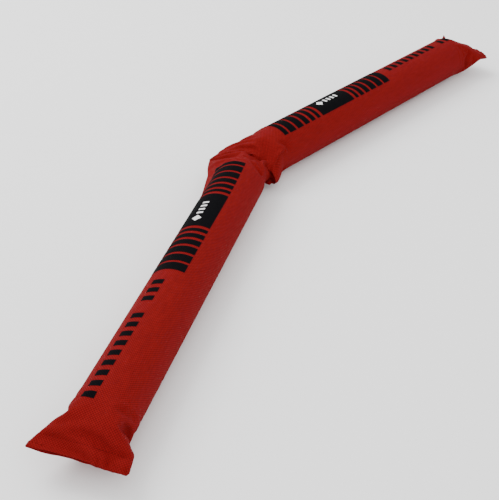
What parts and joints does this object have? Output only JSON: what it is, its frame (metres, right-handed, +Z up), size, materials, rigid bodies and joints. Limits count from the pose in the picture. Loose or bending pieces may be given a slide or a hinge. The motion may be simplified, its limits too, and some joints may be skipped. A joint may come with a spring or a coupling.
{
  "type": "folding stability rod",
  "caption": "Soft training rod: a woven sleeve over two stiff foam halves, with an empty flat neck between them where the rod folds and bends.",
  "frame": {"origin": "middle of the rod's box at its underside, the level it lies on", "axes": "+X along the rod towards the right half, +Z up, both halves lean towards -Y"},
  "size_m": [0.9844, 0.205, 0.0606],
  "materials": {
    "sleeve_fabric": "matte",
    "hem_fabric": "matte",
    "thread": "satin",
    "foam": "matte",
    "black_ink": "satin",
    "white_ink": "matte"
  },
  "bodies": {
    "left_half": {"left_foam_core": "foam", "left_sleeve": "sleeve_fabric", "left_end_flare": "sleeve_fabric", "left_end_hem": "hem_fabric", "left_hem_stitches": "thread", "left_lap_seam": "hem_fabric", "left_seam_stitches": "thread", "left_print_block": "black_ink", "left_inner_bars": "black_ink", "left_outer_bars": "black_ink", "left_block_mark": "white_ink", "left_title_dashes": "black_ink"},
    "left_neck_half": {"left_neck": "sleeve_fabric"},
    "right_neck_half": {"right_neck": "sleeve_fabric"},
    "right_half": {"right_foam_core": "foam", "right_sleeve": "sleeve_fabric", "right_end_flare": "sleeve_fabric", "right_end_hem": "hem_fabric", "right_hem_stitches": "thread", "right_lap_seam": "hem_fabric", "right_seam_stitches": "thread", "right_print_block": "black_ink", "right_inner_bars": "black_ink", "right_outer_bars": "black_ink", "right_block_mark": "white_ink", "right_title_dashes": "black_ink"}
  },
  "joints": [
    {"name": "left_fold", "type": "hinge", "parent": "left_half", "child": "left_neck_half", "pos_m": [-0.03839, 0.0504, 0.02985], "axis": [0.2351, -0.972, 0], "range_deg": [-90, 90]},
    {"name": "neck_bend", "type": "hinge", "parent": "left_neck_half", "child": "right_neck_half", "pos_m": [0.00583, 0.0611, 0.02985], "axis": [0, 0, 1], "range_deg": [-42.8, 97.2]},
    {"name": "right_fold", "type": "hinge", "parent": "right_neck_half", "child": "right_half", "pos_m": [0.03839, 0.05322, 0.02985], "axis": [-0.2351, -0.972, 0], "range_deg": [-90, 90]}
  ]
}
